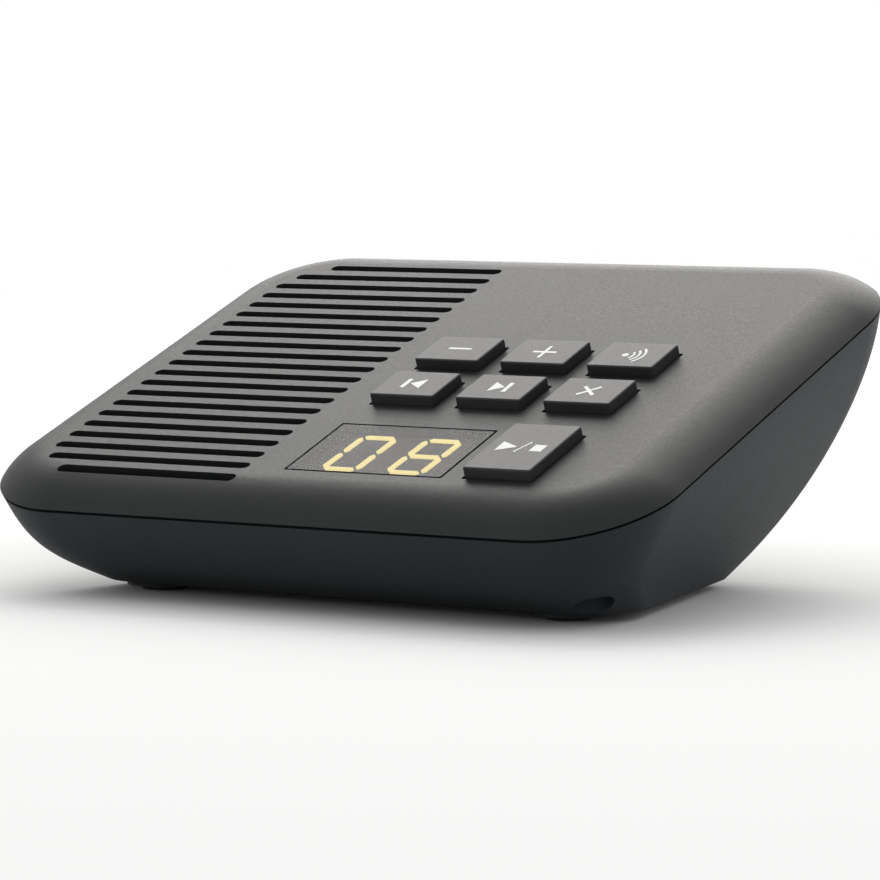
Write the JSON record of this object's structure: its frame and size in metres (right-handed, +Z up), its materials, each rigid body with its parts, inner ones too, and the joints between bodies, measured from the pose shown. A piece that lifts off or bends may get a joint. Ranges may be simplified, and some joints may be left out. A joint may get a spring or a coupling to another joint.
{
  "type": "telephone answering machine",
  "caption": "Wedge-shaped answering machine with a slotted speaker grille, a digit display, square keys and a deeper play key on a sloping deck.",
  "frame": {"origin": "centre of the footprint at the floor the feet rest on", "axes": "+Z up, -Y towards the user in front of the keys, +X to the user's right"},
  "size_m": [0.1332, 0.103, 0.0552],
  "materials": {
    "upper_plastic": "fine spark-eroded grain",
    "lower_plastic": "fine spark-eroded grain",
    "key_plastic": "satin",
    "plunger_plastic": "smooth",
    "switch_plastic": "smooth",
    "window": "smoked, smooth",
    "module_plastic": "smooth",
    "segments": "lit pale yellow",
    "circuit_board": "solder resist",
    "chip_plastic": "moulded",
    "can": "bare",
    "tin": "tinned",
    "ribbon": "flat cable",
    "screw_steel": "zinc plated",
    "cloth": "fine weave",
    "foam": "foam",
    "basket_steel": "pressed",
    "cone_paper": "pulp",
    "copper": "wound wire",
    "magnet": "ferrite",
    "inner_plastic": "smooth",
    "socket_plastic": "smooth",
    "rubber": "dull"
  },
  "bodies": {
    "housing": {"upper_shell": "upper_plastic", "lower_shell": "lower_plastic", "display_window": "window", "line_socket": "socket_plastic", "power_socket": "socket_plastic", "foot_front_left": "rubber", "foot_front_right": "rubber", "foot_rear_left": "rubber", "foot_rear_right": "rubber", "digit_segments": "segments", "display_module": "module_plastic", "switch_bodies": "switch_plastic", "key_board": "circuit_board", "main_board": "circuit_board", "chips": "chip_plastic", "capacitors": "can", "antennas": "tin", "radio_shield": "tin", "ribbon_cable": "ribbon", "board_screws": "screw_steel", "main_board_screws": "screw_steel", "housing_screws": "screw_steel", "grille_cloth": "cloth", "speaker_gasket": "foam", "speaker_frame": "basket_steel", "speaker_cone": "cone_paper", "dust_cap": "cone_paper", "voice_coil": "copper", "speaker_magnet": "magnet", "speaker_retainer": "inner_plastic"},
    "key_minus": {"key_minus": "key_plastic", "plunger_minus": "plunger_plastic"},
    "key_plus": {"key_plus": "key_plastic", "plunger_plus": "plunger_plastic"},
    "key_paging": {"key_paging": "key_plastic", "plunger_paging": "plunger_plastic"},
    "key_previous": {"key_previous": "key_plastic", "plunger_previous": "plunger_plastic"},
    "key_next": {"key_next": "key_plastic", "plunger_next": "plunger_plastic"},
    "key_delete": {"key_delete": "key_plastic", "plunger_delete": "plunger_plastic"},
    "key_play_stop": {"key_play_stop": "key_plastic", "plunger_play_stop": "plunger_plastic"}
  },
  "joints": [
    {"name": "press_minus", "type": "slide", "parent": "housing", "child": "key_minus", "axis": [0, 0.3584, -0.9336], "range_m": [0, 0.0007], "stiffness_N_per_m": 1400},
    {"name": "press_plus", "type": "slide", "parent": "housing", "child": "key_plus", "axis": [0, 0.3584, -0.9336], "range_m": [0, 0.0007], "stiffness_N_per_m": 1400},
    {"name": "press_paging", "type": "slide", "parent": "housing", "child": "key_paging", "axis": [0, 0.3584, -0.9336], "range_m": [0, 0.0007], "stiffness_N_per_m": 1400},
    {"name": "press_previous", "type": "slide", "parent": "housing", "child": "key_previous", "axis": [0, 0.3584, -0.9336], "range_m": [0, 0.0007], "stiffness_N_per_m": 1400},
    {"name": "press_next", "type": "slide", "parent": "housing", "child": "key_next", "axis": [0, 0.3584, -0.9336], "range_m": [0, 0.0007], "stiffness_N_per_m": 1400},
    {"name": "press_delete", "type": "slide", "parent": "housing", "child": "key_delete", "axis": [0, 0.3584, -0.9336], "range_m": [0, 0.0007], "stiffness_N_per_m": 1400},
    {"name": "press_play_stop", "type": "slide", "parent": "housing", "child": "key_play_stop", "axis": [0, 0.3584, -0.9336], "range_m": [0, 0.0007], "stiffness_N_per_m": 1400}
  ]
}
